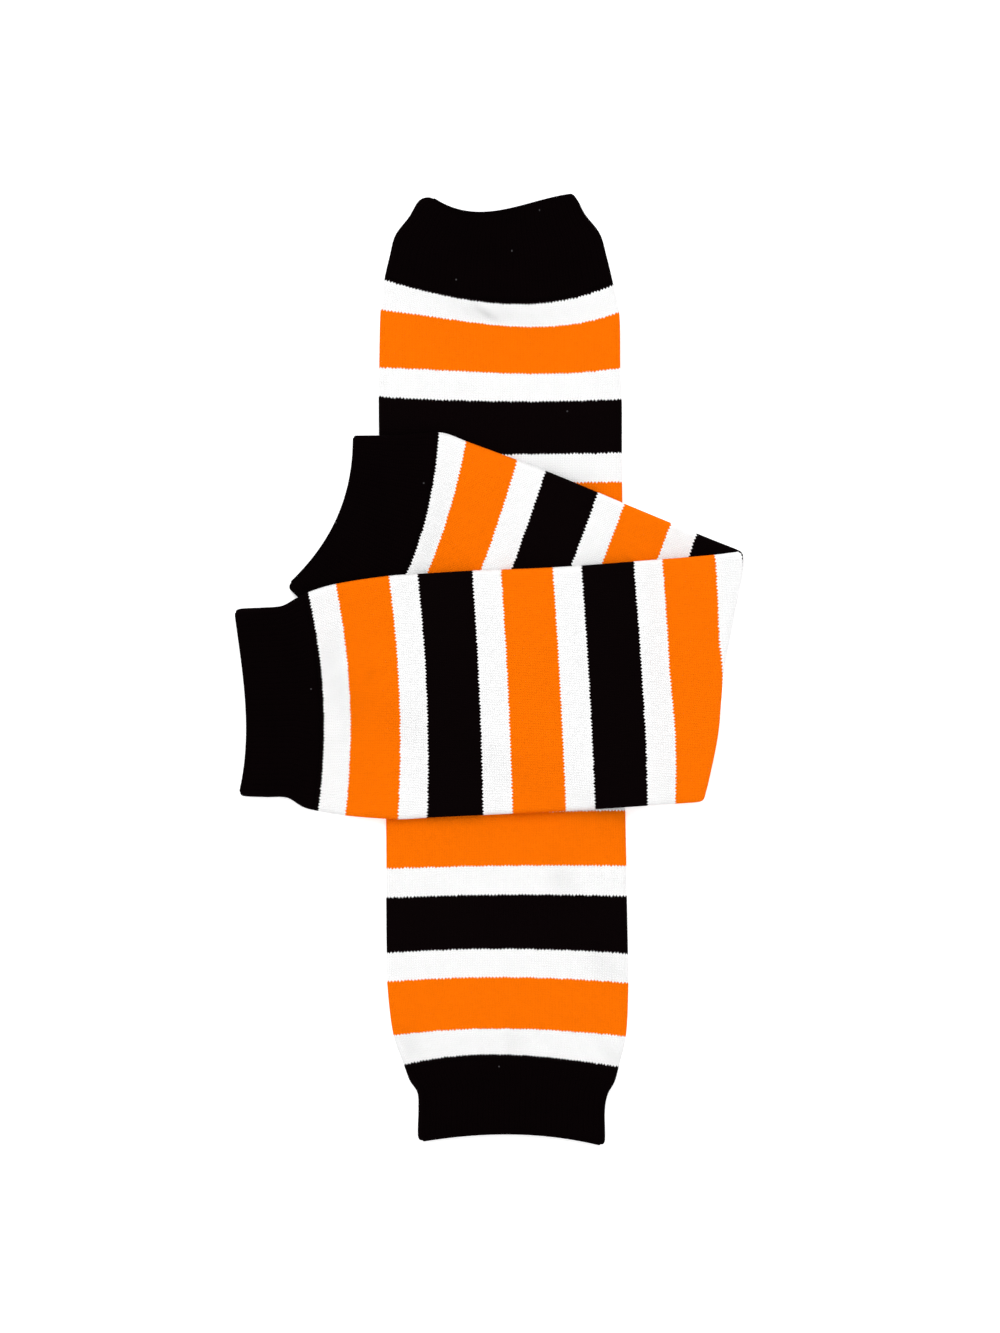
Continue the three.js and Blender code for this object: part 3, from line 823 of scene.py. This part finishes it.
stripedKnit = knitMaterial("stripedKnit", yarn, knit["wales"], bandedColour)
blackRib = knitMaterial("blackRib", ribYarn, knit["wales"] / 2, ribColour)
print("materials made")

legPiece = {
    "from": knit["cuff"] - knit["seamBlack"] + knit["seamGap"],
    "to": length - knit["cuff"] + knit["seamBlack"] - knit["seamGap"],
    "flatFaces": 80,
    "arcFaces": 8,
    "outerStep": 1,
    "innerStep": 7,
}
firstCuff = {
    "from": 0,
    "to": knit["cuff"] - knit["seamBlack"],
    "seam": knit["cuff"] - knit["seamBlack"],
    "flatFaces": 200,
    "arcFaces": 20,
    "outerStep": 1.5,
    "innerStep": 5,
    "ribs": 73,
    "ribDeep": 0.3,
    "seamPlain": 0.5,  # the ribs begin this far from the seam
    "ribEase": 3,  # and take this long to reach their full depth
}
lastCuff = dict(
    firstCuff,
    **{
        "from": length - knit["cuff"] + knit["seamBlack"],
        "to": length,
        "seam": length - knit["cuff"] + knit["seamBlack"],
    },
)
pieces = [
    {"node": "straight_leg", "garment": straightOne, "piece": legPiece, "on": []},
    {"node": "straight_lower_cuff", "garment": straightOne, "piece": firstCuff, "on": []},
    {"node": "straight_upper_cuff", "garment": straightOne, "piece": lastCuff, "on": []},
    {
        "node": "folded_leg",
        "garment": foldedOne,
        "piece": legPiece,
        "on": ["straight_leg"],
        "held": "folded",
    },
    {"node": "folded_front_cuff", "garment": foldedOne, "piece": firstCuff, "on": ["folded_back_cuff"]},
    {"node": "folded_back_cuff", "garment": foldedOne, "piece": lastCuff, "on": ["straight_leg"]},
]
for entry in pieces:
    striped = entry["piece"] is legPiece
    cloth = knitPiece(entry["node"] + "_knit", entry["garment"], entry["piece"])
    cloth.data.materials.append(stripedKnit if striped else blackRib)
    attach(cloth, "root")
    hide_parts(entry["node"])
print("garments laid")

# The floor, the light and the camera. Here the floor's size, the softbox and the clip end are metres.
studio = {
    "floorSize": 4.0,
    "floorLevel": -0.05,  # a hair below the knit that lies on it
    "floorColour": (0.93, 0.93, 0.93, 1),
    "floorRoughness": 0.9,
    "floorSpecular": 0.1,
    "floorGlow": 0.35,  # the pale floor glows a little, so that shadows on it stay faint
    "worldStrength": 1.1,
    "softbox": {"size": 1.8, "at": (-0.3, 1.5, 2.3), "power": 36.0},
    "cameraHeight": 4000,
    "frameHeight": 433.2,
    "frameMiddle": (3.7, 0.7),
    "sensor": 36,
    "clipEnd": 20,
}


def addFloor():
    place = (0, 0, studio["floorLevel"] * mm)
    bpy.ops.mesh.primitive_plane_add(size=studio["floorSize"], location=place)
    floor = bpy.context.object
    floor.name = "floor"
    material = bpy.data.materials.new("paleFloor")
    material.use_nodes = True
    shader = material.node_tree.nodes["Principled BSDF"]
    shader.inputs["Base Color"].default_value = studio["floorColour"]
    shader.inputs["Roughness"].default_value = studio["floorRoughness"]
    shader.inputs["Specular IOR Level"].default_value = studio["floorSpecular"]
    shader.inputs["Emission Color"].default_value = (1, 1, 1, 1)
    shader.inputs["Emission Strength"].default_value = studio["floorGlow"]
    floor.data.materials.append(material)
    bpy.ops.object.select_all(action="DESELECT")


def addLight():
    world = bpy.data.worlds.new("studio")
    bpy.context.scene.world = world
    world.use_nodes = True
    world.node_tree.nodes["Background"].inputs["Color"].default_value = (1, 1, 1, 1)
    world.node_tree.nodes["Background"].inputs["Strength"].default_value = studio["worldStrength"]
    box = studio["softbox"]
    bpy.ops.object.light_add(type="AREA", location=box["at"])
    light = bpy.context.object
    light.name = "softbox"
    light.data.shape = "SQUARE"
    light.data.size = box["size"]
    light.data.energy = box["power"]
    light.rotation_euler = Vector(box["at"]).to_track_quat("Z", "Y").to_euler()
    bpy.ops.object.select_all(action="DESELECT")


# The photo looks straight down, from well away. Its long side is 433 mm of the floor.
def addCamera():
    x, y = studio["frameMiddle"]
    place = (x * mm, y * mm, studio["cameraHeight"] * mm)
    bpy.ops.object.camera_add(location=place, rotation=(0, 0, 0))
    camera = bpy.context.object
    camera.name = "camera"
    camera.data.sensor_width = studio["sensor"]
    camera.data.lens = studio["sensor"] * studio["cameraHeight"] / studio["frameHeight"]
    camera.data.clip_end = studio["clipEnd"]
    bpy.context.scene.camera = camera
    bpy.ops.object.select_all(action="DESELECT")


addFloor()
addLight()
addCamera()
bpy.context.scene.view_settings.view_transform = "Standard"
print("floor, light and camera set")
